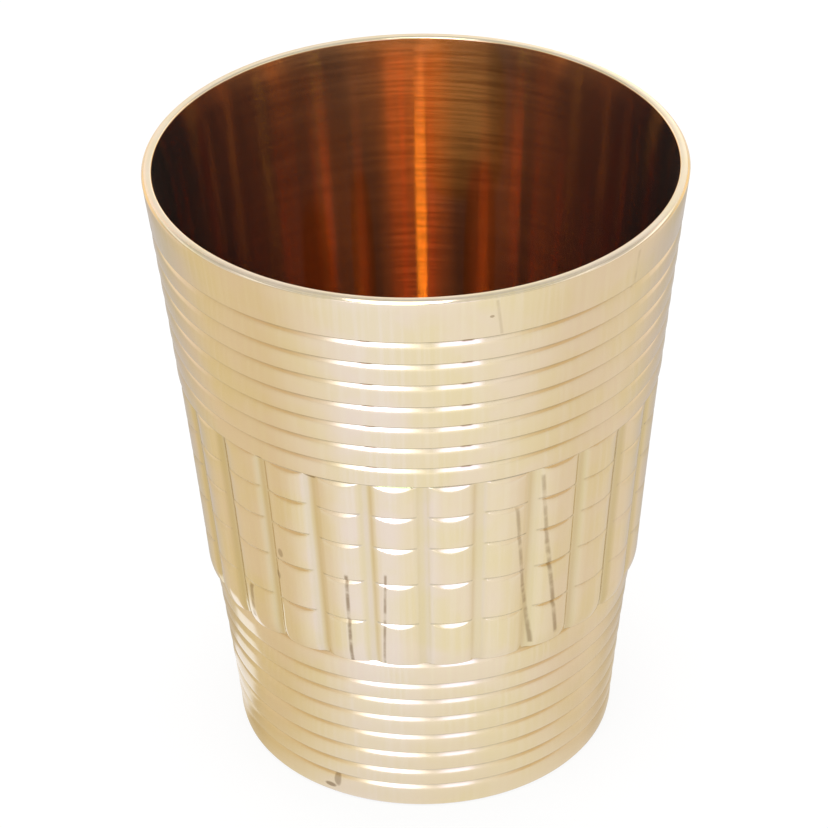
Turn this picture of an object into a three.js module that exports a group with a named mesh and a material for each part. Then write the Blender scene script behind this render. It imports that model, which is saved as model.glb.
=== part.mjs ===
// Brass drinking tumbler, turned on a lathe. A tapered wall carries fine rings above and
// below a band of upright ribs, and a flat disc soldered into the foot closes it.
// Millimetres, +Z up, origin at the centre of the resting face, front towards -Y.
import * as THREE from 'three';

// Overall sizes
const height = 91.3;
const rimDiameter = 75;
const footDiameter = 55;

// Outside line of the wall: the neck is the lower body's top, just under the shoulder
const shoulderHeight = 27.9;
const neckFlare = 3;
const shoulderStep = 0.9;
const upperSag = 0.3;
const lowerSag = 0.15;

// Wall thickness and edges
const rimWall = 1.4;
const footWall = 1.7;
const lipOuterRound = 0.35;
const lipInnerRound = 0.2;
const footChamfer = 0.5;

// Turned rings, spaced by eye, counted from the rib band upwards and downwards
const upperSpacings = [3.25, 3.45, 3.52, 3.44, 3.62, 3.51, 3.62];
const lowerSpacings = [4.05, 3, 3.35, 3.53, 3.51, 3.31, 2.95];
const ringDepth = 0.5;
const ringRound = 1.25;
const creaseRise = 0.1;

// Rib band
const ribCount = 26;
const bandHeight = 32.3;
const crestBow = 0.1;
const fluteDepth = 0.46;
const fluteShare = 0.26;
const endDrop = 0.45;
const endRun = 2.4;
const handSpacing = THREE.MathUtils.degToRad(1.1);

// Cuts turned across the ribs, spaced from the top of the band downwards
const nickSpacings = [5.38, 5.48, 6.39, 7.13];
const nickDepth = 0.52;
const nickRun = 1.2;
const nickWidth = 0.92;

// Disc in the foot and its solder
const discThickness = 1.5;
const discRecess = 1.7;
const discClearance = 0.05;
const solderWidth = 1.3;
const solderHeight = 1.1;

// Smoothness of the curved faces
const columnsPerRib = 5;
const ribColumns = ribCount * columnsPerRib;
const ringColumns = ribColumns / 2;
const arcSteps = 2;
const filletSteps = 4;

const rimRadius = rimDiameter / 2;
const footRadius = footDiameter / 2;
const neckRadius = footRadius + neckFlare;
const bandTop = shoulderHeight + bandHeight;

// A line between two radii, hollowed by sag at its middle
function hollowLine(lowRadius, highRadius, share, sag) {
  return THREE.MathUtils.lerp(lowRadius, highRadius, share) - 4 * sag * share * (1 - share);
}

function lowerRadius(z) {
  return hollowLine(footRadius, neckRadius, z / shoulderHeight, lowerSag);
}

function upperRadius(z) {
  const share = (z - shoulderHeight) / (height - lipOuterRound - shoulderHeight);
  return hollowLine(neckRadius + shoulderStep, rimRadius, share, upperSag);
}

function insideRadius(z) {
  return THREE.MathUtils.lerp(footRadius - footWall, rimRadius - rimWall, z / height);
}

// Height that a round shoulder needs to come out by the given depth
function shoulderRun(depth, round) {
  return Math.sqrt(round * round - (round - depth) * (round - depth));
}

// A section is one closed ring of points round the axis, at one height
function roundSection(radius, z) {
  const points = [];
  for (let i = 0; i < ringColumns; i += 1) {
    const turn = (2 * Math.PI * i) / ringColumns;
    points.push(new THREE.Vector3(radius * Math.sin(turn), -radius * Math.cos(turn), z));
  }
  return points;
}

// How far the rib surface lies under its crest, from 0 at the crest to 1 in the valley:
// the crest is a little bowed, and a narrow steep flute runs between two ribs
function ribDrop(fromCrest) {
  const intoFlute = Math.max(0, (fromCrest - 1 + fluteShare) / fluteShare);
  return crestBow * fromCrest ** 2 + fluteDepth * (1 - (1 - intoFlute) ** 2.2);
}

// A nick is deepest on the crest and runs out before the flutes
function nickShare(fromCrest) {
  return Math.max(0, 1 - (fromCrest / nickWidth) ** 2.5);
}

// Where the columns stand across a rib: one in the valley, the rest on the rib itself
function columnPlace(column) {
  if (column === 0) {
    return 0;
  }
  return THREE.MathUtils.lerp(fluteShare / 2, 1 - fluteShare / 2, (column - 1) / (columnsPerRib - 2));
}

// The ribs were spaced by hand, so their pitch drifts slowly round the wall
function handSpaced(turn) {
  return turn - handSpacing * Math.sin(2 * turn);
}

function ribbedSection(z, cutDepth, drawnIn = 0) {
  const points = [];
  for (let i = 0; i < ribColumns; i += 1) {
    const acrossRib = columnPlace(i % columnsPerRib);
    const fromCrest = Math.abs(1 - 2 * acrossRib);
    const sunk = ribDrop(fromCrest) + cutDepth * nickShare(fromCrest) + drawnIn;
    const radius = upperRadius(z) - sunk;
    const rib = Math.floor(i / columnsPerRib);
    const turn = handSpaced((2 * Math.PI * (rib + acrossRib)) / ribCount);
    points.push(new THREE.Vector3(radius * Math.sin(turn), -radius * Math.cos(turn), z));
  }
  return points;
}

// Heights of a row of lips, from the lowest up to the top one itself
function heightsBelow(top, spacings) {
  const heights = [top];
  for (const spacing of spacings) {
    heights.unshift(heights[0] - spacing);
  }
  return heights;
}

// Rings below the band: each starts under a crease and comes out round to the wall's line
function lowerWallSections() {
  const sections = [
    roundSection(footRadius - footChamfer, 0),
    roundSection(lowerRadius(footChamfer), footChamfer),
  ];
  for (const lipHeight of heightsBelow(shoulderHeight, lowerSpacings)) {
    const creaseHeight = lipHeight - creaseRise;
    const shoulder = creaseHeight - shoulderRun(ringDepth, ringRound);
    // A ring that has no room above the foot is left out
    if (shoulder > footChamfer) {
      sections.push(roundSection(lowerRadius(shoulder), shoulder));
      sections.push(roundSection(lowerRadius(creaseHeight) - ringDepth, creaseHeight));
      if (lipHeight < shoulderHeight) {
        sections.push(roundSection(lowerRadius(lipHeight), lipHeight));
      }
    }
  }
  return sections;
}

// One cut across the ribs, from below: uncut rib, bottom of the cut
function ribCut(lipHeight) {
  const creaseHeight = lipHeight - creaseRise;
  return [ribbedSection(creaseHeight - nickRun, 0), ribbedSection(creaseHeight, nickDepth)];
}

// The ribs draw in towards their lower ends
function ribBandSections() {
  const lipHeights = heightsBelow(bandTop, nickSpacings);
  const room = (lipHeights[0] - creaseRise - nickRun - shoulderHeight) / 2;
  const sections = [
    ribbedSection(shoulderHeight, 0, endDrop),
    ribbedSection(shoulderHeight + Math.min(endRun, room), 0),
  ];
  for (const lipHeight of lipHeights) {
    sections.push(...ribCut(lipHeight));
    if (lipHeight < bandTop) {
      sections.push(ribbedSection(lipHeight, 0));
    }
  }
  return sections;
}

function upperWallSections() {
  const sections = [roundSection(upperRadius(bandTop), bandTop)];
  let lipHeight = bandTop;
  for (const spacing of upperSpacings) {
    lipHeight += spacing;
    const creaseHeight = lipHeight - creaseRise;
    const shoulder = creaseHeight - shoulderRun(ringDepth, ringRound);
    sections.push(roundSection(upperRadius(shoulder), shoulder));
    sections.push(roundSection(upperRadius(creaseHeight) - ringDepth, creaseHeight));
    sections.push(roundSection(upperRadius(lipHeight), lipHeight));
  }
  return sections;
}

// Over the rim and down the smooth inside to the foot
function lipAndInsideSections() {
  const sections = [];
  for (let k = 0; k <= arcSteps; k += 1) {
    const turn = (Math.PI / 2) * (k / arcSteps);
    const z = height - lipOuterRound * (1 - Math.sin(turn));
    sections.push(roundSection(rimRadius - lipOuterRound * (1 - Math.cos(turn)), z));
  }
  for (let k = arcSteps; k >= 0; k -= 1) {
    const turn = (Math.PI / 2) * (k / arcSteps);
    const z = height - lipInnerRound * (1 - Math.sin(turn));
    sections.push(roundSection(insideRadius(z) + lipInnerRound * (1 - Math.cos(turn)), z));
  }
  sections.push(roundSection(insideRadius(footChamfer), footChamfer));
  sections.push(roundSection(insideRadius(0) + footChamfer / 2, 0));
  return sections;
}

// Joins two neighbouring sections; one may have twice as many points as the other
function joinSections(low, high, lowStart, highStart, index) {
  const steps = Math.min(low.length, high.length);
  for (let i = 0; i < steps; i += 1) {
    const lowStep = low.length / steps;
    const highStep = high.length / steps;
    const a = lowStart + i * lowStep;
    const b = lowStart + (((i + 1) * lowStep) % low.length);
    const d = highStart + i * highStep;
    const c = highStart + (((i + 1) * highStep) % high.length);
    if (highStep === 2) {
      index.push(a, b, d + 1, a, d + 1, d, b, c, d + 1);
    } else if (lowStep === 2) {
      index.push(a, a + 1, d, a + 1, b, c, a + 1, c, d);
    } else {
      index.push(a, b, c, a, c, d);
    }
  }
}

// A closed skin through a loop of sections
function loftLoop(sections) {
  const positions = [];
  const starts = [];
  for (const section of sections) {
    starts.push(positions.length / 3);
    for (const point of section) {
      positions.push(point.x, point.y, point.z);
    }
  }
  const index = [];
  for (let k = 0; k < sections.length; k += 1) {
    const next = (k + 1) % sections.length;
    joinSections(sections[k], sections[next], starts[k], starts[next], index);
  }
  const geometry = new THREE.BufferGeometry();
  geometry.setAttribute('position', new THREE.Float32BufferAttribute(positions, 3));
  geometry.setIndex(index);
  geometry.computeVertexNormals();
  return geometry;
}

// A revolve about +Z whose flats line up with those of the wall
function revolve(profile) {
  const geometry = new THREE.LatheGeometry(profile, ringColumns);
  geometry.rotateX(Math.PI / 2);
  return geometry;
}

function tumblerWall() {
  return loftLoop([
    ...lowerWallSections(),
    ...ribBandSections(),
    ...upperWallSections(),
    ...lipAndInsideSections(),
  ]);
}

// Radius of the pieces that sit inside the foot
function seatRadius(z) {
  return insideRadius(z) - discClearance;
}

function baseDisc() {
  const top = discRecess + discThickness;
  return revolve([
    new THREE.Vector2(0, discRecess),
    new THREE.Vector2(seatRadius(discRecess), discRecess),
    new THREE.Vector2(seatRadius(top), top),
    new THREE.Vector2(0, top),
  ]);
}

// A hollow fillet of solder in the corner under the disc
function solderSeam() {
  const low = discRecess - solderHeight;
  const corner = new THREE.Vector2(seatRadius(discRecess), discRecess);
  const wallToe = new THREE.Vector2(seatRadius(low), low);
  const discToe = new THREE.Vector2(corner.x - solderWidth, discRecess);
  const hollow = new THREE.Vector2(
    THREE.MathUtils.lerp(corner.x, discToe.x, 0.3),
    THREE.MathUtils.lerp(corner.y, wallToe.y, 0.3),
  );
  const face = new THREE.QuadraticBezierCurve(discToe, hollow, wallToe);
  return revolve([...face.getPoints(filletSteps), corner, discToe.clone()]);
}

function piece(name, geometry, colour, roughness, metalness) {
  const material = new THREE.MeshStandardMaterial({ color: colour, roughness, metalness });
  const mesh = new THREE.Mesh(geometry, material);
  mesh.name = name;
  return mesh;
}

const tumbler = new THREE.Group();
tumbler.add(piece('tumbler_wall', tumblerWall(), 0xe3cf9f, 0.2, 1));
tumbler.add(piece('base_disc', baseDisc(), 0xcfae6c, 0.35, 1));
tumbler.add(piece('solder_seam', solderSeam(), 0xa9a8a2, 0.5, 1));

export default tumbler;
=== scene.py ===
# Brass drinking tumbler: a turned wall with rings and a band of upright ribs, a flat disc
# in the foot and the solder round it, on a pale floor in soft studio light.
import math

import bmesh
import bpy
from mathutils import Matrix, Vector, noise


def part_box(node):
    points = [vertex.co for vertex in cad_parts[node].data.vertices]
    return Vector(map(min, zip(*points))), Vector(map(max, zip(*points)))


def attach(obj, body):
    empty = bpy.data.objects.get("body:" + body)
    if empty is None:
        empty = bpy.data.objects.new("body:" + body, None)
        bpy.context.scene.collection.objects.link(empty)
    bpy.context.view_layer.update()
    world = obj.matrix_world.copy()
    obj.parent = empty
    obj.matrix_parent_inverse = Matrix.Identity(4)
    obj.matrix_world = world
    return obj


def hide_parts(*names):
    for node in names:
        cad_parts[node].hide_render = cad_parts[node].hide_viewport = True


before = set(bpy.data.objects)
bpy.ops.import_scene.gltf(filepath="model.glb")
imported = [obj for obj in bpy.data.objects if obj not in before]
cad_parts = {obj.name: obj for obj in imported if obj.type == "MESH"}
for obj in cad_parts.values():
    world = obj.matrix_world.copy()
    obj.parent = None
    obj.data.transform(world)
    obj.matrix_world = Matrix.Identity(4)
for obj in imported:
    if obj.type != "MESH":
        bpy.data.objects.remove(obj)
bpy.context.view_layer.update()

# Sizes in millimetres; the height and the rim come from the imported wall
MM = 0.001

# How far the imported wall's facets fall short of its true round at the sides
FACET_LOSS = 0.01
wall_low, wall_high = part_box("tumbler_wall")
HEIGHT = (wall_high[2] - wall_low[2]) / MM
RIM_RADIUS = wall_high[0] / MM + FACET_LOSS
FOOT_RADIUS = 27.5

SHOULDER_HEIGHT = 27.9
NECK_RADIUS = FOOT_RADIUS + 3
SHOULDER_STEP = 0.9
NECK_DEPTH = 1.1
BAND_TUCK = 0.05
INSIDE_MARGIN = 0.02
UPPER_SAG = 0.3
LOWER_SAG = 0.15

RIM_WALL = 1.4
FOOT_WALL = 1.7
LIP_OUTER_ROUND = 0.35
WORN_EDGE = ((0, 0.42), (0.03, 0.36), (0.08, 0.29), (0.28, 0.08), (0.34, 0.03), (0.42, 0))
LIP_INNER_ROUND = 0.3
FOOT_ROUND = 0.7
ROUND_STEPS = 4

# How far below the rim the next rows lie, outside and inside
OUTSIDE_ROW = 3
INSIDE_ROW = 4

# Ring spacings as turned by eye, counted from the rib band upwards and downwards
UPPER_SPACINGS = (3.25, 3.45, 3.52, 3.44, 3.62, 3.51, 3.62)
LOWER_SPACINGS = (4.05, 3.00, 3.35, 3.53, 3.51, 3.31, 2.95)
CREASE_RISE = 0.12
LIP_ROUND = 0.2
LIP_STEPS = 3

# Painted shade in the creases: how far it reaches above and below a lip, and its share in a nick
SHADE_ABOVE = 0.18
SHADE_FADE = 0.14
SHADE_BELOW = 0.25
NICK_SHADE = 0.3

# A ring's face leans back more and more towards the crease above it
SLOPE_RUN = 0.58
SLOPE_TILT = math.radians(24)
LOWER_SLOPE_TILT = math.radians(28.5)
SLOPE_STEEPENING = 1.08
SLOPE_STEPS = 3
EASE_RUN = 1.05
EASE_TILT = math.radians(4)
CROWN_TILT = math.radians(1.5)
CROWN_STEPS = 3
EASE_STEPS = 5

RIB_COUNT = 26
BAND_HEIGHT = 32.3
BAND_TOP = SHOULDER_HEIGHT + BAND_HEIGHT
ROW_MARGIN = 0.01
CREST_BOW = 0.34
FLUTE_DEPTH = 0.34
FLUTE_HOLLOW = 2.2
FLUTE_SHARE = 0.26
HOLLOW_RUN = 0.08
END_DROP = 0.45
END_RUN = 3.0
HAND_SPACING = math.radians(1.1)
CREST_COLUMNS = 6
FLUTE_COLUMNS = 6
COLUMN_CROWDING = 1.8
RING_COLUMNS = 260
MERGE_DISTANCE = 0.0005
NICK_SPACINGS = (5.38, 5.48, 6.39, 7.13)
NICK_DEPTH = 0.52
NICK_RUN = 1.15
NICK_BOW = 0.25
NICK_BLEND = 0.03

# Where rows lie along a rib's drawn-in end, between two nicks and down a nick
END_SHARES = (0.25, 0.5, 0.75)
RIB_SHARES = (0, 0.33, 0.67)
NICK_SHARES = (0, 0.2, 0.4, 0.6, 0.8, 1)

# The disc in the foot and its solder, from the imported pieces
disc_low, disc_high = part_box("base_disc")
DISC_LOW = disc_low[2] / MM
DISC_HIGH = disc_high[2] / MM
DISC_CLEARANCE = 0.05
DISC_EASE = 0.15
DISC_MARGIN = 8
DISC_COLUMNS = 130
seam_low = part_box("solder_seam")[0]
SEAM_LOW = seam_low[2] / MM
SEAM_WIDTH = 1.3
SEAM_STEPS = 6
SEAM_COLUMNS = 195
SEAM_WANDER = 0.25
SEAM_WAVES = 0.35
SEAM_LAYER = 4.0


# The tumbler's outlines

def hollow_line(low_radius, high_radius, share, sag):
    """A straight taper between two radii, hollowed by sag at its middle."""
    return low_radius + (high_radius - low_radius) * share - 4 * sag * share * (1 - share)


def lower_radius(z):
    return hollow_line(FOOT_RADIUS, NECK_RADIUS, z / SHOULDER_HEIGHT, LOWER_SAG)


def upper_radius(z):
    share = (z - SHOULDER_HEIGHT) / (HEIGHT - LIP_OUTER_ROUND - SHOULDER_HEIGHT)
    return hollow_line(NECK_RADIUS + SHOULDER_STEP, RIM_RADIUS, share, UPPER_SAG)


def inside_radius(z):
    low = FOOT_RADIUS - FOOT_WALL
    return low + (RIM_RADIUS - RIM_WALL - low) * z / HEIGHT


def rib_drop(from_crest):
    """Depth of the rib surface under its crest: a slightly bowed crest, then a flute.

    The flute has steep sides and a hollow bottom.
    """
    edge = 1 - FLUTE_SHARE
    bow = CREST_BOW * min(from_crest / edge, 1) ** 2
    into_flute = max(0, (from_crest - edge) / FLUTE_SHARE)
    return bow + FLUTE_DEPTH * (1 - (1 - into_flute) ** FLUTE_HOLLOW)


def column_places():
    """Where the columns stand across one rib, from valley to valley, close at the flutes."""
    half = [FLUTE_SHARE * (1 - (1 - k / FLUTE_COLUMNS) ** COLUMN_CROWDING)
            for k in range(FLUTE_COLUMNS)]
    half = [FLUTE_SHARE - place for place in reversed(half)]
    half = [0] + [place / 2 for place in half]
    edge = FLUTE_SHARE / 2
    half += [edge + (0.5 - edge) * k / CREST_COLUMNS for k in range(1, CREST_COLUMNS + 1)]
    return half + [1 - place for place in reversed(half[1:-1])]


def soft_max(a, b, blend):
    """The larger of two depths, with the corner between them eased."""
    gap = max(blend - abs(a - b), 0) / blend
    return max(a, b) + gap * gap * blend / 4


def end_drop(z):
    """The ribs draw in towards their lower ends."""
    share = max(0, 1 - (z - SHOULDER_HEIGHT) / END_RUN)
    return END_DROP * share * share


def nick_depth(z, lip_height):
    """Depth of one turned cut across the ribs: a steep lip, then a slope that eases out."""
    below = lip_height - z
    if below <= 0:
        return 0
    if below < CREASE_RISE:
        return NICK_DEPTH * below / CREASE_RISE
    share = min((below - CREASE_RISE) / NICK_RUN, 1)
    return NICK_DEPTH * (1 - share) * (1 - NICK_BOW * share)


def heights_below(top, spacings):
    """Heights of a row of lips, from the lowest up to the top one itself."""
    heights = [top]
    for spacing in spacings:
        heights.insert(0, heights[0] - spacing)
    return heights


# Rows of the wall's profile, as (radius, height), from the foot up and down the inside

def arc_rows(centre_radius, centre_z, round_radius, start, stop, steps):
    """Points on a round from one angle to another; angle 0 points outwards, 90 up."""
    rows = []
    for k in range(steps + 1):
        angle = start + (stop - start) * k / steps
        rows.append((centre_radius + round_radius * math.cos(angle),
                     centre_z + round_radius * math.sin(angle)))
    return rows


def ring_rows(line_radius, lip_height, foot_height, slope_tilt):
    """One turned ring from its foot up to the crease under the next lip.

    The ring's face is a slightly bowed crown that eases into a slope up to the crease.
    """
    slope_foot = lip_height - CREASE_RISE - SLOPE_RUN
    crown_top = slope_foot - EASE_RUN
    stretches = ((crown_top, -CROWN_TILT, EASE_TILT, CROWN_STEPS),
                 (slope_foot, EASE_TILT, slope_tilt, EASE_STEPS),
                 (lip_height - CREASE_RISE, slope_tilt, slope_tilt * SLOPE_STEEPENING,
                  SLOPE_STEPS))
    rows = []
    drop = 0
    z = foot_height
    for top, low_tilt, high_tilt, steps in stretches:
        rise = (top - z) / steps
        for k in range(steps):
            tilt = low_tilt + (high_tilt - low_tilt) * (k + 0.5) / steps
            drop += rise * math.tan(tilt)
            z += rise
            rows.append((line_radius(z) - drop, z))
    return rows


def lip_rows(radius, lip_height):
    """The small rounded lip that overhangs a crease."""
    quarter = math.pi / 2
    return arc_rows(radius - LIP_ROUND, lip_height + LIP_ROUND, LIP_ROUND, -quarter, 0,
                    LIP_STEPS)


def lower_rows():
    """The outside from the foot's resting face up to the crease under the band."""
    rows = arc_rows(FOOT_RADIUS - FOOT_ROUND, FOOT_ROUND, FOOT_ROUND, -math.pi / 2, 0,
                    ROUND_STEPS)
    foot_height = FOOT_ROUND
    for lip_height in heights_below(SHOULDER_HEIGHT, LOWER_SPACINGS):
        rows += ring_rows(lower_radius, lip_height, foot_height, LOWER_SLOPE_TILT)
        if lip_height < SHOULDER_HEIGHT:
            rows += lip_rows(lower_radius(lip_height), lip_height)
        foot_height = lip_height + LIP_ROUND
    return rows


def band_rows():
    """The blank of the rib band, with rows where the nicks will be turned."""
    rows = lip_rows(upper_radius(SHOULDER_HEIGHT), SHOULDER_HEIGHT)
    low = SHOULDER_HEIGHT + LIP_ROUND
    heights = [low + (END_RUN - LIP_ROUND) * share for share in END_SHARES]
    low += END_RUN - LIP_ROUND
    for lip_height in heights_below(BAND_TOP, NICK_SPACINGS):
        shoulder = lip_height - CREASE_RISE - NICK_RUN
        heights += [low + (shoulder - low) * share for share in RIB_SHARES]
        heights += [shoulder + NICK_RUN * share for share in NICK_SHARES]
        if lip_height < BAND_TOP:
            heights.append(lip_height)
            heights.append(lip_height + SHADE_ABOVE / 2)
        low = lip_height + SHADE_ABOVE
    rows += [(upper_radius(z), z) for z in heights]
    return rows


def upper_lips():
    """Heights of the lips above the band, from the band's own top edge upwards."""
    heights = [BAND_TOP]
    for spacing in UPPER_SPACINGS:
        heights.append(heights[-1] + spacing)
    return heights


def upper_rows():
    """The outside from the top of the band up to the last ring's lip."""
    lips = upper_lips()
    rows = lip_rows(upper_radius(BAND_TOP), BAND_TOP)
    for last_lip, lip_height in zip(lips, lips[1:]):
        rows += ring_rows(upper_radius, lip_height, last_lip + LIP_ROUND, SLOPE_TILT)
        rows += lip_rows(upper_radius(lip_height), lip_height)
    return rows


def rim_and_inside_rows():
    """The plain band under the rim, the worn rim, and the inside down to the foot."""
    quarter = math.pi / 2
    rows = [(upper_radius(HEIGHT - OUTSIDE_ROW), HEIGHT - OUTSIDE_ROW)]
    rows += [(RIM_RADIUS - inward, HEIGHT - down) for inward, down in WORN_EDGE]
    centre = inside_radius(HEIGHT - LIP_INNER_ROUND) + LIP_INNER_ROUND
    rows += arc_rows(centre, HEIGHT - LIP_INNER_ROUND, LIP_INNER_ROUND,
                     quarter, 2 * quarter, ROUND_STEPS)
    for z in (HEIGHT - INSIDE_ROW, HEIGHT / 2, DISC_HIGH, FOOT_ROUND):
        rows.append((inside_radius(z), z))
    rows.append((inside_radius(0) + FOOT_ROUND / 2, 0))
    return rows


# Mesh making

def spin_rows(rows, steps, closed):
    """A mesh turned on the axis from rows that lie in the front half-plane."""
    bm = bmesh.new()
    verts = [bm.verts.new((0, -radius, z)) for radius, z in rows]
    edges = [bm.edges.new(pair) for pair in zip(verts, verts[1:])]
    if closed:
        edges.append(bm.edges.new((verts[-1], verts[0])))
    bmesh.ops.spin(bm, geom=verts + edges, cent=(0, 0, 0), axis=(0, 0, 1),
                   angle=2 * math.pi, steps=steps, use_merge=True)
    bmesh.ops.remove_doubles(bm, verts=bm.verts, dist=MERGE_DISTANCE)
    bmesh.ops.recalc_face_normals(bm, faces=bm.faces)
    return bm


def crease_shade_share(z, lips):
    """Share of painted shade: 1 in the crease under each lip, 0 a little above and below it."""
    crease_shade = 0
    for lip_height in lips:
        above = (lip_height + SHADE_ABOVE - z) / SHADE_FADE
        below = 1 - (lip_height - CREASE_RISE - z) / SHADE_BELOW
        crease_shade = max(crease_shade, min(above, below, 1))
    return crease_shade


def finish_piece(bm, name, materials, node, point_values=None):
    """Scales the mesh to metres and hands it over as a piece that stands for its node.

    The mesh carries values as attributes, such as the painted shade of its creases, one value
    for each point.
    """
    bmesh.ops.scale(bm, vec=(MM, MM, MM), verts=bm.verts)
    mesh = bpy.data.meshes.new(name)
    bm.to_mesh(mesh)
    bm.free()
    for kind, values in (point_values or {}).items():
        mesh.attributes.new(kind, "FLOAT", "POINT").data.foreach_set("value", values)
    for polygon in mesh.polygons:
        polygon.use_smooth = True
    for material in materials:
        mesh.materials.append(material)
    piece = bpy.data.objects.new(name, mesh)
    bpy.context.scene.collection.objects.link(piece)
    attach(piece, "root")
    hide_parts(node)
    return piece


def strike_ribs(bm):
    """Moves the turned blank's columns to the hand-spaced ribs and sinks flutes and nicks.

    Gives back each point's share of painted shade, which lies only where a nick cuts into a rib,
    and how far the point is in a flute.
    """
    crease_shade = []
    hollow = []
    places = column_places()
    lip_heights = heights_below(BAND_TOP, NICK_SPACINGS)
    columns = RIB_COUNT * len(places)
    for vert in bm.verts:
        x, y, z = vert.co
        radius = math.hypot(x, y)
        column = round(columns * math.atan2(x, -y) / (2 * math.pi)) % columns
        rib, place = divmod(column, len(places))
        turn = 2 * math.pi * (rib + places[place]) / RIB_COUNT
        turn -= HAND_SPACING * math.sin(2 * turn)
        shade_strength = 1
        in_flute = 0
        if SHOULDER_HEIGHT - ROW_MARGIN <= z <= BAND_TOP - ROW_MARGIN:
            from_crest = abs(1 - 2 * places[place])
            drop = rib_drop(from_crest) + end_drop(z)
            in_flute = min(max((from_crest - 1 + FLUTE_SHARE) / HOLLOW_RUN + 0.5, 0), 1)
            cut = max(nick_depth(z, lip_height) for lip_height in lip_heights)
            # Painted shade: only part of it in a nick, where the cut reaches into the rib; all
            # of it in the crease under the band
            shade_strength = min(max((NICK_DEPTH - drop) / SHADE_ABOVE, 0), 1) * NICK_SHADE
            if z < SHOULDER_HEIGHT + SHADE_ABOVE:
                shade_strength = 1
            if cut > 0:
                drop = soft_max(drop, cut, NICK_BLEND)
            radius -= drop
        crease_shade.append(shade_strength * crease_shade_share(z, lip_heights + [SHOULDER_HEIGHT]))
        hollow.append(in_flute)
        vert.co = (radius * math.sin(turn), -radius * math.cos(turn), z)
    return {"crease_shade": crease_shade, "hollow": hollow}


def make_wall(outside, inside):
    """The turned wall, with a plain neck where the rib band goes round it."""
    lower, upper = lower_rows(), upper_rows()
    neck_top = (upper_radius(BAND_TOP) - NECK_DEPTH, BAND_TOP)
    bm = spin_rows(lower + [neck_top] + upper + rim_and_inside_rows(), RING_COLUMNS, closed=True)
    for face in bm.faces:
        middle = face.calc_center_median()
        within = math.hypot(middle.x, middle.y) < inside_radius(middle.z) + INSIDE_MARGIN
        face.material_index = 1 if within else 0
    lips = heights_below(SHOULDER_HEIGHT, LOWER_SPACINGS) + upper_lips()
    # Painted shade in the creases under the lips
    crease_shade = [crease_shade_share(vert.co.z, lips) for vert in bm.verts]
    return finish_piece(bm, "turned_wall", (outside, inside), "tumbler_wall",
                        {"crease_shade": crease_shade})


def make_band(outside):
    """The band of ribs, from the crease under its lower lip to the crease at its top."""
    low = (lower_rows()[-1][0] - BAND_TUCK, SHOULDER_HEIGHT - CREASE_RISE)
    high = (upper_radius(BAND_TOP) - NECK_DEPTH, BAND_TOP)
    bm = spin_rows([low] + band_rows() + [high], RIB_COUNT * len(column_places()), closed=False)
    point_values = strike_ribs(bm)
    return finish_piece(bm, "rib_band", (outside,), "tumbler_wall", point_values)


def make_disc(material):
    """The flat disc, with its edge cut to the wall's taper and a slight ease at each edge."""
    low = inside_radius(DISC_LOW) - DISC_CLEARANCE
    high = inside_radius(DISC_HIGH) - DISC_CLEARANCE
    rows = [(0, DISC_LOW), (low - DISC_MARGIN, DISC_LOW), (low - DISC_EASE, DISC_LOW),
            (low, DISC_LOW + DISC_EASE), (high, DISC_HIGH - DISC_EASE),
            (high - DISC_EASE, DISC_HIGH), (high - DISC_MARGIN, DISC_HIGH), (0, DISC_HIGH)]
    bm = spin_rows(rows, DISC_COLUMNS, closed=False)
    return finish_piece(bm, "foot_disc", (material,), "base_disc")


def make_seam(material):
    """A fillet of solder, run round by hand, so its toes wander a little."""
    corner = inside_radius(DISC_LOW) - DISC_CLEARANCE
    depth = DISC_LOW - SEAM_LOW
    rows = []
    for k in range(SEAM_STEPS + 1):
        share = k / SEAM_STEPS
        rows.append((corner - SEAM_WIDTH * (1 - share) ** 2,
                     DISC_LOW - depth * share ** 2))
    rows.append((corner, DISC_LOW))
    bm = spin_rows(rows, SEAM_COLUMNS, closed=True)
    for vert in bm.verts:
        x, y, z = vert.co
        radius = math.hypot(x, y)
        low_corner = inside_radius(z) - DISC_CLEARANCE
        uneven = noise.noise(Vector((x * SEAM_WAVES, y * SEAM_WAVES, SEAM_LAYER)))
        inward = (corner - radius) / SEAM_WIDTH
        radius = min(radius - SEAM_WANDER * uneven * inward, low_corner)
        vert.co = (x * radius / math.hypot(x, y), y * radius / math.hypot(x, y), z)
    return finish_piece(bm, "solder_fillet", (material,), "solder_seam")


# Shader writing

class Field:
    """A socket of a material's node tree that works in Python expressions."""

    def __init__(self, tree, socket):
        self.tree = tree
        self.socket = socket

    def math(self, operation, *others):
        return make_node(self.tree, "ShaderNodeMath", {"operation": operation},
                         dict(enumerate((self,) + others)))

    def __add__(self, other):
        return self.math("ADD", other)

    def __radd__(self, other):
        return self.math("ADD", other)

    def __sub__(self, other):
        return self.math("SUBTRACT", other)

    def __rsub__(self, other):
        return (self * -1) + other

    def __mul__(self, other):
        return self.math("MULTIPLY", other)

    def __rmul__(self, other):
        return self.math("MULTIPLY", other)

    def __truediv__(self, other):
        return self.math("DIVIDE", other)

    def size(self):
        """The value without its sign."""
        return self.math("ABSOLUTE")

    def smooth(self, start, stop):
        """0 at start and 1 at stop, with a soft run between them; clamped outside."""
        settings = {"interpolation_type": "SMOOTHSTEP"}
        return make_node(self.tree, "ShaderNodeMapRange", settings,
                         {"Value": self, "From Min": start, "From Max": stop,
                          "To Min": 0.0, "To Max": 1.0})

    def band(self, start, full, fade, stop):
        """1 from full to fade, and 0 before start and after stop, with soft runs between."""
        return self.smooth(start, full) * self.smooth(stop, fade)

    def near(self, place, reach, full):
        """1 as near a place as full, and 0 from reach onwards, with a soft run between."""
        return (self - place).size().smooth(reach, full)


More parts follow.
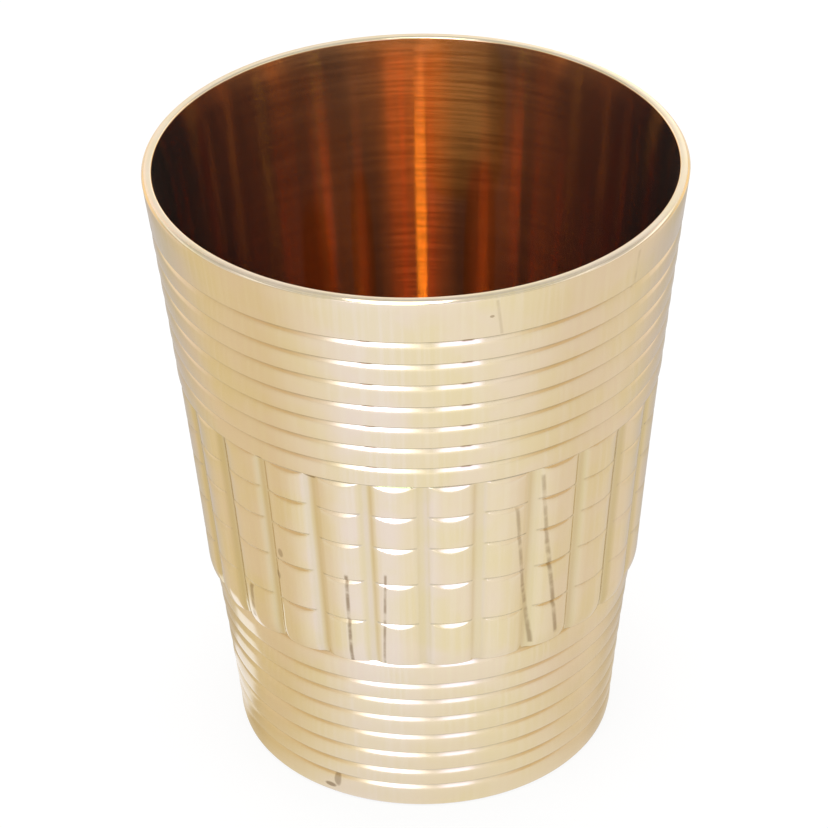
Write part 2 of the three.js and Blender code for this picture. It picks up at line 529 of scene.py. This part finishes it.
def make_node(tree, kind, settings=None, inputs=None, output=0):
    """Any node: its type, its settings, then the values or links of its sockets."""
    node = tree.nodes.new(kind)
    for name, value in (settings or {}).items():
        setattr(node, name, value)
    for key, value in (inputs or {}).items():
        fill_socket(tree, node.inputs[key], value)
    return Field(tree, node.outputs[output])


def fill_socket(tree, socket, value):
    """Links a socket to a field, or writes a plain value into it."""
    if isinstance(value, Field):
        tree.links.new(value.socket, socket)
    else:
        socket.default_value = value


def mix_colours(tree, factor, first, second):
    """Mixes two colours; the Mix node's colour sockets are the seventh and eighth."""
    node = tree.nodes.new("ShaderNodeMix")
    node.data_type = "RGBA"
    fill_socket(tree, node.inputs[0], factor)
    for socket, colour in ((node.inputs[6], first), (node.inputs[7], second)):
        fill_socket(tree, socket, (*colour, 1) if isinstance(colour, tuple) else colour)
    return Field(tree, node.outputs[2])


def new_material(name):
    material = bpy.data.materials.new(name)
    material.use_nodes = True
    tree = material.node_tree
    tree.nodes.clear()
    return material, tree


def split_place(tree, place):
    """The three values of a place or a direction."""
    split = tree.nodes.new("ShaderNodeSeparateXYZ")
    tree.links.new(place.socket, split.inputs[0])
    return tuple(Field(tree, split.outputs[k]) for k in range(3))


def object_place(tree):
    """Object coordinates in millimetres: x, y, z, distance from the axis and turn.

    The turn is in radians from the front, towards the right.
    """
    coords = make_node(tree, "ShaderNodeTexCoord", output=3)
    x, y, z = (value / MM for value in split_place(tree, coords))
    radius = (x * x + y * y).math("SQRT")
    turn = x.math("ARCTAN2", y * -1)
    return x, y, z, radius, turn


def attribute_field(tree, name):
    """A value that the mesh carries at its points."""
    return make_node(tree, "ShaderNodeAttribute", {"attribute_name": name}, output=2)


def combine(tree, x, y, z):
    return make_node(tree, "ShaderNodeCombineXYZ", None, {0: x, 1: y, 2: z})


def noise_field(tree, vector, scale, detail=2.0, roughness=0.5):
    return make_node(tree, "ShaderNodeTexNoise", {"noise_dimensions": "3D"},
                     {"Vector": vector, "Scale": scale, "Detail": detail,
                      "Roughness": roughness})


def metal_shader(tree, colour, roughness, normal, grain=0.0, edge=(1.0, 1.0, 1.0)):
    """Metal; grain is the spread across brush marks that run round the axis.

    The edge colour tints what the metal mirrors at a low angle.
    """
    return make_node(tree, "ShaderNodeBsdfPrincipled", None,
                     {"Base Color": colour, "Roughness": roughness, "Metallic": 1.0,
                      "Specular Tint": (*edge, 1.0), "Anisotropic": grain,
                      "Anisotropic Rotation": 0.25, "Normal": normal})


def mix_shaders(tree, factor, first, second):
    return make_node(tree, "ShaderNodeMixShader", None, {0: factor, 1: first, 2: second})


def put_out(tree, shader):
    output = tree.nodes.new("ShaderNodeOutputMaterial")
    tree.links.new(shader.socket, output.inputs[0])


def bump(tree, height):
    """Bumps the surface by a height in millimetres."""
    return make_node(tree, "ShaderNodeBump", None,
                     {"Strength": 1.0, "Distance": MM, "Height": height})


# Colours as linear light

PALE_BRASS = (0.825, 0.715, 0.530)
WARM_BRASS = (0.800, 0.680, 0.440)
ROSE_BRASS = (0.815, 0.685, 0.520)
# Painted reflection of the warm floor close to the foot
FOOT_GOLD = (0.800, 0.655, 0.420)
# Painted shade and bounce light in the flutes
FLUTE_SHADE_TINT = (0.620, 0.520, 0.280)
RIM_TINT = (0.400, 0.350, 0.290)
# Painted shade in the creases, as seen in front
CREASE_SHADE_COLOUR = (0.200, 0.170, 0.110)
# Painted shade: browner, at the far sides and in the creases there
SIDE_SHADE_COLOUR = (0.420, 0.310, 0.160)
MARK = (0.300, 0.210, 0.110)

INSIDE_BRASS = (0.840, 0.580, 0.345)
INSIDE_DARK = (0.660, 0.425, 0.240)
# Painted shade on the inside's far sides
INSIDE_SIDE_SHADE = (0.480, 0.380, 0.300)
INSIDE_EDGE = (0.84, 0.80, 0.76)
# Painted reflection: the redder bands inside
INSIDE_RED_REFLECTION = (0.940, 0.530, 0.300)
DUST = (0.8, 0.8, 0.8)
# Painted glow over the lamps' streak inside
STREAK_GLOW_COLOUR = (1.000, 0.480, 0.120)
# Painted reflection, tinting the layer of dust in the redder bands
RED_REFLECTION_TINT = (1.000, 0.130, 0.030)

PALE_SOLDER = (0.42, 0.42, 0.40)
DARK_SOLDER = (0.24, 0.23, 0.21)


# Marks in the wall, with painted reflections and a painted glow among them

# Fine dark lines: degrees round and height of each end, width and strength
DARK_LINES = (
    # The first two, in the plain band under the rim, are painted reflections of thin dark lines
    # on the floor
    (17.0, 84.9, 15.8, 90.5, 0.30, 0.22),
    (51.0, 84.0, 51.5, 90.0, 0.40, 0.20),
    (25.0, 40.3, 22.5, 54.4, 0.45, 0.50),
    (28.3, 29.0, 25.0, 40.3, 0.55, 0.65),
    (31.0, 47.1, 29.0, 58.9, 0.45, 0.50),
    (35.5, 29.4, 31.0, 47.1, 0.55, 0.65),
    (-19.0, 27.6, -19.0, 43.7, 0.42, 0.80),
    (-10.5, 28.2, -9.2, 44.6, 0.32, 0.70),
    (-49.8, 29.4, -49.4, 35.2, 0.65, 0.60),
)
LINE_CORE = 0.2
LINE_ENDS = (-0.02, 0.02, 0.98, 1.02)

# Dark spots and stains: degrees round, height, half width, half height and strength
SPOTS = (
    (14.8, 88.0, 0.35, 0.25, 0.6),
    (-30.5, 1.5, 1.3, 0.5, 0.8),
    (-28.0, 2.9, 0.8, 1.5, 0.6),
    (-40.0, 60.1, 0.9, 0.5, 0.6),
    (-26.5, 59.9, 1.0, 0.5, 0.8),
    (-37.2, 44.2, 0.6, 0.9, 0.5),
    (-39.0, 39.8, 0.6, 0.9, 0.5),
)

# The wall's radius at its middle, which turns the marks' angles into millimetres
MARK_RADIUS = 33

# Dark specks of painted reflection, of something dark at the lamps' edges, in the painted shade
# of the upper creases: turns, where each fades across, from what height up they are there,
# and strength
REFLECTED_SPECK_TURNS = (-0.196, 0.175)
REFLECTED_SPECK_WIDTHS = (0.030, 0.012)
REFLECTED_SPECK_RISE = (60, 62)
REFLECTED_SPECK_STRENGTH = 4

# Painted reflections of the lamps, redder bands up the inside: turn, half width and strength;
# and where they fade upwards
RED_REFLECTION_BANDS = ((-2.89, 0.07, 0.9), (2.85, 0.10, 0.9), (-2.67, 0.12, 0.5))
RED_CORE = 0.2
RED_TOP = (78, 55)

# A painted golden glow inside, over the lamps' streak: its middle, with how far it reaches and
# where it is full
STREAK_GLOW_TURN = (2.93, 0.22, 0.03)
STREAK_GLOW_HEIGHT = (79, 16, 3)
DUST_SHARE = 0.011


def line_marks(tree, turn, z):
    """How dark each place is from the fine lines, which noise breaks up."""
    broken = noise_field(tree, combine(tree, turn * 12, z * 0.45, 0.0), 1.0, 3.0)
    broken = broken.smooth(0.30, 0.58) * 0.75 + 0.25
    marks = 0.0
    for low_turn, low_z, high_turn, high_z, width, strength in DARK_LINES:
        share = (z - low_z) / (high_z - low_z)
        place = share * math.radians(high_turn - low_turn) + math.radians(low_turn)
        across = (turn - place).size() * MARK_RADIUS
        line = across.smooth(width, width * LINE_CORE) * share.band(*LINE_ENDS)
        marks = line * broken * strength + marks
    return marks


def spot_marks(turn, z):
    """How dark each place is from the spots and stains."""
    marks = 0.0
    for at_turn, at_z, wide, high, strength in SPOTS:
        across = (turn - math.radians(at_turn)) * (MARK_RADIUS / wide)
        along = (z - at_z) / high
        marks = (across * across + along * along).smooth(1.0, 0.3) * strength + marks
    return marks


def dark_reflection_specks(turn, z, crease_shade):
    """Painted reflections: dark specks in the creases above the rib band."""
    specks = 0.0
    for at_turn in REFLECTED_SPECK_TURNS:
        specks = turn.near(at_turn, *REFLECTED_SPECK_WIDTHS) + specks
    return specks * z.smooth(*REFLECTED_SPECK_RISE) * crease_shade * REFLECTED_SPECK_STRENGTH


# Materials

def clean_brass(tree, x, y, z, radius, turn):
    """Pale brass with a cloudy tint and upright streaks from the polishing wheel."""
    cloud = noise_field(tree, combine(tree, x, y, z), 0.12, 3.0).smooth(0.35, 0.65)
    streak_place = combine(tree, turn * 40, radius * 0.2, z * 0.03)
    streak = noise_field(tree, streak_place, 1.2, 3.0).smooth(0.4, 0.7)
    tint = mix_colours(tree, cloud, WARM_BRASS, ROSE_BRASS)
    return mix_colours(tree, streak * 0.6, tint, PALE_BRASS)


def outside_material():
    """Polished brass with marks, more golden in the flutes and at the foot; painted shade in the
    flutes, creases and lower far sides, and a painted reflection at the foot.
    """
    material, tree = new_material("polished_outside")
    x, y, z, radius, turn = object_place(tree)
    facing = (y * -1 / radius).smooth(0.6, 0.97)
    far_side = (x / radius).size().smooth(0.80, 0.95)
    hollow = attribute_field(tree, "hollow")
    colour = clean_brass(tree, x, y, z, radius, turn)
    # Painted shade and bounce light: the flutes darker and more golden, more so towards the
    # sides
    colour = mix_colours(tree, hollow * ((1 - facing) * 0.35 + 0.25), colour, FLUTE_SHADE_TINT)
    # Painted reflection: more golden towards the foot, where the metal mirrors the floor close
    # by
    colour = mix_colours(tree, z.smooth(27, 2) * 0.5, colour, FOOT_GOLD)
    # Painted shade: browner at the far sides, low down
    colour = mix_colours(tree, far_side * z.smooth(29, 20) * 0.35, colour, SIDE_SHADE_COLOUR)

    # Painted shade in the creases and nicks: broken by noise, a little stronger in front,
    # browner at the sides
    uneven = noise_field(tree, combine(tree, turn * 12, z * 0.3, 0.0), 1.0, 2.0)
    shade_strength = uneven.smooth(0.3, 0.6) * 0.3 + 0.6 + facing * 0.1
    crease_shade = attribute_field(tree, "crease_shade") * shade_strength
    colour = mix_colours(tree, crease_shade, colour, mix_colours(tree, facing, SIDE_SHADE_COLOUR, CREASE_SHADE_COLOUR))
    # The specks, and the first two fine lines, are painted reflections
    marks = dark_reflection_specks(turn, z, crease_shade) + line_marks(tree, turn, z) + spot_marks(turn, z)
    colour = mix_colours(tree, marks.math("MINIMUM", 1.0), colour, MARK)
    rim_top = z.smooth(HEIGHT - 0.10, HEIGHT - 0.02)
    colour = mix_colours(tree, rim_top * 0.35, colour, RIM_TINT)

    polish = noise_field(tree, combine(tree, x, y, z), 0.6, 2.0)
    wave = noise_field(tree, combine(tree, turn * 9, radius, z * 0.12), 1.0, 2.0)
    height = wave * 0.004 + polish * 0.002
    roughness = polish * 0.05 + 0.085 + crease_shade * 0.15
    roughness = roughness + z.smooth(28, 24) * 0.06 + rim_top * 0.2
    put_out(tree, metal_shader(tree, colour, roughness, bump(tree, height)))
    return material


def inside_material():
    """Warm brass brushed round the axis, which spreads what it mirrors up and down.

    Dust lies over it in a thin layer; its golden patch is a painted glow, and its reddish bands
    are painted reflections of the lamps.
    """
    material, tree = new_material("brushed_inside")
    x, y, z, radius, turn = object_place(tree)
    brush_place = combine(tree, turn * 2.0, radius * 0.1, z * 1.8)
    brush = noise_field(tree, brush_place, 1.0, 4.0, 0.65)
    patch = noise_field(tree, combine(tree, x, y, z), 0.10, 2.0).smooth(0.35, 0.65)
    far_side = (x / radius).size().smooth(0.52, 0.90)
    # Painted reflections of the lamps: redder bands up the inside
    red = 0.0
    for at_turn, half_width, strength in RED_REFLECTION_BANDS:
        red = turn.near(at_turn, half_width, half_width * RED_CORE) * strength + red
    red = red * z.smooth(*RED_TOP)
    colour = mix_colours(tree, brush.smooth(0.40, 0.60), INSIDE_DARK, INSIDE_BRASS)
    # Painted shade: darker towards the inside's far sides
    colour = mix_colours(tree, far_side, colour, INSIDE_SIDE_SHADE)
    colour = mix_colours(tree, red, colour, INSIDE_RED_REFLECTION)
    roughness = brush * 0.03 + patch * 0.02 + 0.045
    height = brush * (patch * 0.003 + 0.001)
    metal = metal_shader(tree, colour, roughness, bump(tree, height), 1.0, INSIDE_EDGE)

    # Painted glow and painted reflection mixed into the thin layer of dust as its colour
    streak_glow = turn.near(*STREAK_GLOW_TURN) * z.near(*STREAK_GLOW_HEIGHT)
    dust_and_glow_colour = mix_colours(tree, streak_glow.smooth(0.0, 0.2), DUST, STREAK_GLOW_COLOUR)
    dust_and_glow_colour = mix_colours(tree, red.smooth(0.0, 0.3), dust_and_glow_colour, RED_REFLECTION_TINT)
    share = streak_glow * (brush.smooth(0.35, 0.65) * 0.12 + 0.09) + red * 0.07 + DUST_SHARE
    dust_and_glow = make_node(tree, "ShaderNodeBsdfPrincipled", None,
                     {"Base Color": dust_and_glow_colour, "Roughness": 1.0, "Specular IOR Level": 0.0})
    put_out(tree, mix_shaders(tree, share, metal, dust_and_glow))
    return material


def disc_material():
    """Turned brass with fine rings round its centre."""
    material, tree = new_material("turned_disc")
    x, y, z, radius, turn = object_place(tree)
    rings = noise_field(tree, combine(tree, radius * 9, turn * 0.6, z * 0.3), 1.0, 2.0)
    cloud = noise_field(tree, combine(tree, x, y, z), 0.15, 3.0).smooth(0.35, 0.65)
    colour = mix_colours(tree, cloud, INSIDE_BRASS, WARM_BRASS)
    put_out(tree, metal_shader(tree, colour, rings * 0.12 + 0.24, bump(tree, rings * 0.012)))
    return material


def solder_material():
    """Dull grey solder, lumpy and a little tarnished."""
    material, tree = new_material("grey_solder")
    x, y, z = object_place(tree)[:3]
    lumps = noise_field(tree, combine(tree, x, y, z), 1.1, 3.0)
    colour = mix_colours(tree, lumps.smooth(0.35, 0.65), PALE_SOLDER, DARK_SOLDER)
    put_out(tree, metal_shader(tree, colour, lumps * 0.25 + 0.35, bump(tree, lumps * 0.12)))
    return material


# Studio

# The paper as the metal mirrors it, as linear light
COOL_PAPER = (0.96, 0.98, 1.14)
WARM_PAPER = (0.95, 0.95, 0.93)
LEFT_PAPER = (0.75, 0.63, 0.41)
RIGHT_PAPER = (0.785, 0.705, 0.58)
BACK_PAPER = (0.51, 0.46, 0.42)
FAR_PAPER = (0.30, 0.29, 0.28)
DISTANT_PAPER = (1.00, 0.86, 0.72)
PANE_PAPER = (1.10, 1.10, 1.15)
WHITE = (1.0, 1.0, 1.0)

# A bright pane on the paper at the left of the foot: middle, reach and full width each way
PANE_ACROSS = (-41, 15, 10)
PANE_DEEP = (2, 9, 5)

# How much of the paper shines by itself, to the eye and in the metal; the rest is lit
SEEN_SHINE = 0.86
MIRRORED_SHINE = 0.85
PAPER_GREY = (0.92, 0.92, 0.92, 1)
FLOOR_SIZE = 3
FLOOR_DROP = 0.00002

# The room's walls in the metal: plain light, the extra overhead and that near the floor
WALL_LIGHT = 0.58
SIDE_WALLS = 0.15
HIGH_WALLS = 0.22
LOW_AHEAD = 0.27
LOW_ALL_ROUND = 0.18
HORIZON = (1.00, 0.78, 0.50)

# Windows, as where each starts, is full, fades and stops: sideways as a share or in
# degrees from the front, and upwards as the sine of the height
RIGHT_WINDOW = 0.8
LEFT_WINDOW = 0.4
WINDOW_RISE = (0.26, 0.33, 0.38, 0.46)
SLIT_ACROSS = (0.04, 0.14, 0.20, 0.30)
SLIT_LIGHT = 1.2
PANEL_RISE = (0.53, 0.56, 0.60, 0.66)
PANEL_LIGHT = 0.75
FAR_WINDOWS = ((116, 122, 136, 142), (-168, -162, -146, -140))
FAR_WINDOW_RISE = (0.49, 0.52, 0.55, 0.58)
FAR_WINDOW_LIGHT = 2.4
FAR_WINDOW_TINT = (1.00, 0.50, 0.30)

# Two soft lights low in front, which draw the bright lines of the rings and nicks
LEFT_GLOW = (-40, -22, -17, 5)
LEFT_GLOW_TOP = (0.29, 0.17)
LEFT_GLOW_LIGHT = 2.2
RIGHT_GLOW = (5, 10, 23.5, 25.5)
RIGHT_GLOW_TOP = (0.27, 0.15)
RIGHT_GLOW_LIGHT = 0.7
GLOW_TINT = (1.00, 1.02, 1.45)

# Lamps: azimuth, lowest and highest angle, distance in metres, spread and radiance
FRONT_LAMP = (-10, 32.5, 39, 1.0, 22, 9.5)
FRONT_LAMP_TINT = (0.78, 1.45, 0.85)
HIGH_LAMP = (-10, 48, 63, 1.0, 50, 3.0)
OVERHEAD_PLACE = (0, 0, 1.2)
OVERHEAD_SIZE = 0.8
OVERHEAD_LIGHT = 4.0


def light_path(tree, *kinds):
    """What kinds of ray ask for the colour, as fields that are 0 or 1."""
    path = tree.nodes.new("ShaderNodeLightPath")
    return tuple(Field(tree, path.outputs[kind]) for kind in kinds)


def floor_material():
    """Pale paper that shows white to the eye and in the metal, and keeps the shadow.

    In the metal it is brightest in front, where the lamps stand, and warmer at the sides.
    """
    material, tree = new_material("pale_paper")
    camera, glossy, passing = light_path(tree, "Is Camera Ray", "Is Glossy Ray",
                                         "Is Transmission Ray")
    mirrored = (glossy + passing).math("MINIMUM", 1.0)
    x, y, _, radius, _ = object_place(tree)
    forward = y * -1 / radius
    across = x / radius
    side_tint = mix_colours(tree, across.smooth(-0.8, 0.8), LEFT_PAPER, RIGHT_PAPER)
    cool = across.smooth(-0.72, -0.45) * across.smooth(0.10, -0.30)
    front_tint = mix_colours(tree, cool, WARM_PAPER, COOL_PAPER)
    tint = mix_colours(tree, forward.smooth(0.35, 1.0), side_tint, front_tint)
    tint = mix_colours(tree, forward.smooth(0.0, -0.8), tint, BACK_PAPER)
    straight_back = forward.smooth(-0.96, -0.995) * radius.smooth(320, 200)
    tint = mix_colours(tree, straight_back, tint, FAR_PAPER)
    distant = forward.smooth(0.0, -0.5) * radius.smooth(200, 300)
    tint = mix_colours(tree, distant, tint, DISTANT_PAPER)
    pane = x.near(*PANE_ACROSS) * y.near(*PANE_DEEP)
    tint = mix_colours(tree, pane, tint, PANE_PAPER)
    tint = mix_colours(tree, mirrored, WHITE, tint)
    brighter = radius.smooth(120, 1200) * forward.smooth(0.80, 0.97) * 0.35
    paper = make_node(tree, "ShaderNodeBsdfDiffuse", None, {"Color": PAPER_GREY})
    white = make_node(tree, "ShaderNodeEmission", None,
                      {"Color": tint, "Strength": brighter * mirrored + 1.0})
    share = camera * SEEN_SHINE + mirrored * MIRRORED_SHINE
    put_out(tree, mix_shaders(tree, share, paper, white))
    return material


def make_floor():
    bm = bmesh.new()
    bmesh.ops.create_grid(bm, x_segments=1, y_segments=1, size=FLOOR_SIZE)
    mesh = bpy.data.meshes.new("floor")
    bm.to_mesh(mesh)
    bm.free()
    mesh.materials.append(floor_material())
    floor = bpy.data.objects.new("floor", mesh)
    floor.location.z = -FLOOR_DROP
    bpy.context.scene.collection.objects.link(floor)


def room_light(right, back, up, wide, low, ahead):
    """Light of the room's walls and its plain windows, without the far ones."""
    side_walls = wide.smooth(55, 80) * up.smooth(0.28, 0.36) * up.smooth(0.62, 0.52)
    walls = WALL_LIGHT + side_walls * SIDE_WALLS + up.smooth(0.64, 0.74) * HIGH_WALLS
    walls = walls + low * (ahead * LOW_AHEAD + LOW_ALL_ROUND)
    behind = back.smooth(0.35, 0.70) * up.smooth(0.66, 0.54)
    behind = behind * (up.smooth(0.22, 0.34) * 0.33 + 0.42)
    window = right.smooth(0.72, 0.82) * RIGHT_WINDOW + right.smooth(-0.75, -0.88) * LEFT_WINDOW
    window = window * up.band(*WINDOW_RISE)
    slit = right.band(*SLIT_ACROSS) * back.smooth(0.80, 0.86) * up.smooth(0.44, 0.40)
    panel = wide.smooth(95, 75) * up.band(*PANEL_RISE)
    return walls + behind + window + slit * SLIT_LIGHT + panel * PANEL_LIGHT


def make_world():
    """A room that is white to the eye; in the metal it is brightest behind and low in front.

    Its windows stand at the sides, behind and in two far corners.
    """
    world = bpy.data.worlds.new("studio")
    bpy.context.scene.world = world
    world.use_nodes = True
    tree = world.node_tree
    tree.nodes.clear()
    direction = make_node(tree, "ShaderNodeTexCoord", output=0)
    right, back, up = split_place(tree, direction)
    turn = right.math("ARCTAN2", back * -1) * (180 / math.pi)
    camera, = light_path(tree, "Is Camera Ray")
    wide = turn.size()
    low = up.smooth(0.34, 0.10)
    ahead = wide.smooth(60, 30)
    far_windows = turn.band(*FAR_WINDOWS[0]) + turn.band(*FAR_WINDOWS[1])
    far_windows = far_windows * up.band(*FAR_WINDOW_RISE)
    left_glow = turn.band(*LEFT_GLOW) * up.smooth(*LEFT_GLOW_TOP)
    right_glow = turn.band(*RIGHT_GLOW) * up.smooth(*RIGHT_GLOW_TOP)
    colour = mix_colours(tree, low * (1 - ahead), WHITE, HORIZON)
    colour = mix_colours(tree, far_windows, colour, FAR_WINDOW_TINT)
    glow_share = (left_glow + right_glow).math("MINIMUM", 1.0)
    colour = mix_colours(tree, glow_share, colour, GLOW_TINT)
    colour = mix_colours(tree, camera, colour, WHITE)
    light = room_light(right, back, up, wide, low, ahead) + far_windows * FAR_WINDOW_LIGHT
    light = light + left_glow * LEFT_GLOW_LIGHT + right_glow * RIGHT_GLOW_LIGHT
    background = make_node(tree, "ShaderNodeBackground", None,
                           {"Color": colour, "Strength": camera + (1 - camera) * light})
    output = tree.nodes.new("ShaderNodeOutputWorld")
    tree.links.new(background.socket, output.inputs[0])


def soft_box(name, place, target, width, height, radiance):
    """A rectangular lamp of even brightness that faces its target; all in metres."""
    lamp = bpy.data.lights.new(name, "AREA")
    lamp.shape = "RECTANGLE"
    lamp.size = width
    lamp.size_y = height
    lamp.energy = math.pi * width * height * radiance
    box = bpy.data.objects.new(name, lamp)
    box.location = place
    box.rotation_euler = (Vector(target) - Vector(place)).to_track_quat("-Z", "Y").to_euler()
    bpy.context.scene.collection.objects.link(box)
    return box


def studio_box(name, azimuth, low, high, distance, spread, radiance):
    """A lamp placed by the angles that it fills; azimuth 0 is the photograph's side."""
    turn, lift = math.radians(azimuth), math.radians((low + high) / 2)
    place = Vector((math.sin(turn) * math.cos(lift), -math.cos(turn) * math.cos(lift),
                    math.sin(lift)))
    width = 2 * distance * math.cos(lift) * math.tan(math.radians(spread / 2))
    height = 2 * distance * math.tan(math.radians((high - low) / 2))
    target = Vector((0, 0, HEIGHT * MM / 2))
    return soft_box(name, target + place * distance, target, width, height, radiance)


def make_lamps():
    """A slit of a lamp in front for the inside's streak, one above it and one overhead."""
    front_lamp = studio_box("front_lamp", *FRONT_LAMP)
    front_lamp.data.color = FRONT_LAMP_TINT
    front_lamp.visible_diffuse = False
    studio_box("high_lamp", *HIGH_LAMP)
    overhead = soft_box("overhead", OVERHEAD_PLACE, (0, 0, 0), OVERHEAD_SIZE, OVERHEAD_SIZE,
                        OVERHEAD_LIGHT)
    overhead.visible_glossy = False


# The photograph's camera, measured in rim radii and degrees
CAMERA_BACK = 11.4706
CAMERA_UP = 8.8602
CAMERA_PITCH = math.radians(33.309)
CAMERA_YAW = math.radians(-0.125)
CAMERA_ROLL = math.radians(1.207)
PHOTO_WIDTH = 828
FOCAL_PIXELS = 3600
SENSOR_WIDTH = 36
NEAREST_SEEN = 0.02
FARTHEST_SEEN = 20


def make_camera():
    """The camera that fits the photograph's rim, outline and ring lines."""
    data = bpy.data.cameras.new("camera")
    data.sensor_width = SENSOR_WIDTH
    data.lens = SENSOR_WIDTH * FOCAL_PIXELS / PHOTO_WIDTH
    data.clip_start = NEAREST_SEEN
    data.clip_end = FARTHEST_SEEN
    camera = bpy.data.objects.new("camera", data)
    forward = Vector((math.sin(CAMERA_YAW) * math.cos(CAMERA_PITCH),
                      math.cos(CAMERA_YAW) * math.cos(CAMERA_PITCH),
                      -math.sin(CAMERA_PITCH)))
    across = Vector((math.cos(CAMERA_YAW), -math.sin(CAMERA_YAW), 0))
    down = forward.cross(across)
    right = math.cos(CAMERA_ROLL) * across + math.sin(CAMERA_ROLL) * down
    down = -math.sin(CAMERA_ROLL) * across + math.cos(CAMERA_ROLL) * down
    rotation = Matrix((right, -down, -forward)).transposed()
    place = Vector((0, -CAMERA_BACK, CAMERA_UP)) * RIM_RADIUS * MM
    camera.matrix_world = Matrix.Translation(place) @ rotation.to_4x4()
    bpy.context.scene.collection.objects.link(camera)
    bpy.context.scene.camera = camera


# Building

outside = outside_material()
make_wall(outside, inside_material())
make_band(outside)
make_disc(disc_material())
make_seam(solder_material())

make_camera()
make_floor()
make_world()
make_lamps()

# The inside passes light on from wall to wall many times
scene = bpy.context.scene
scene.view_settings.view_transform = "Standard"
scene.cycles.max_bounces = 16
scene.cycles.glossy_bounces = 14
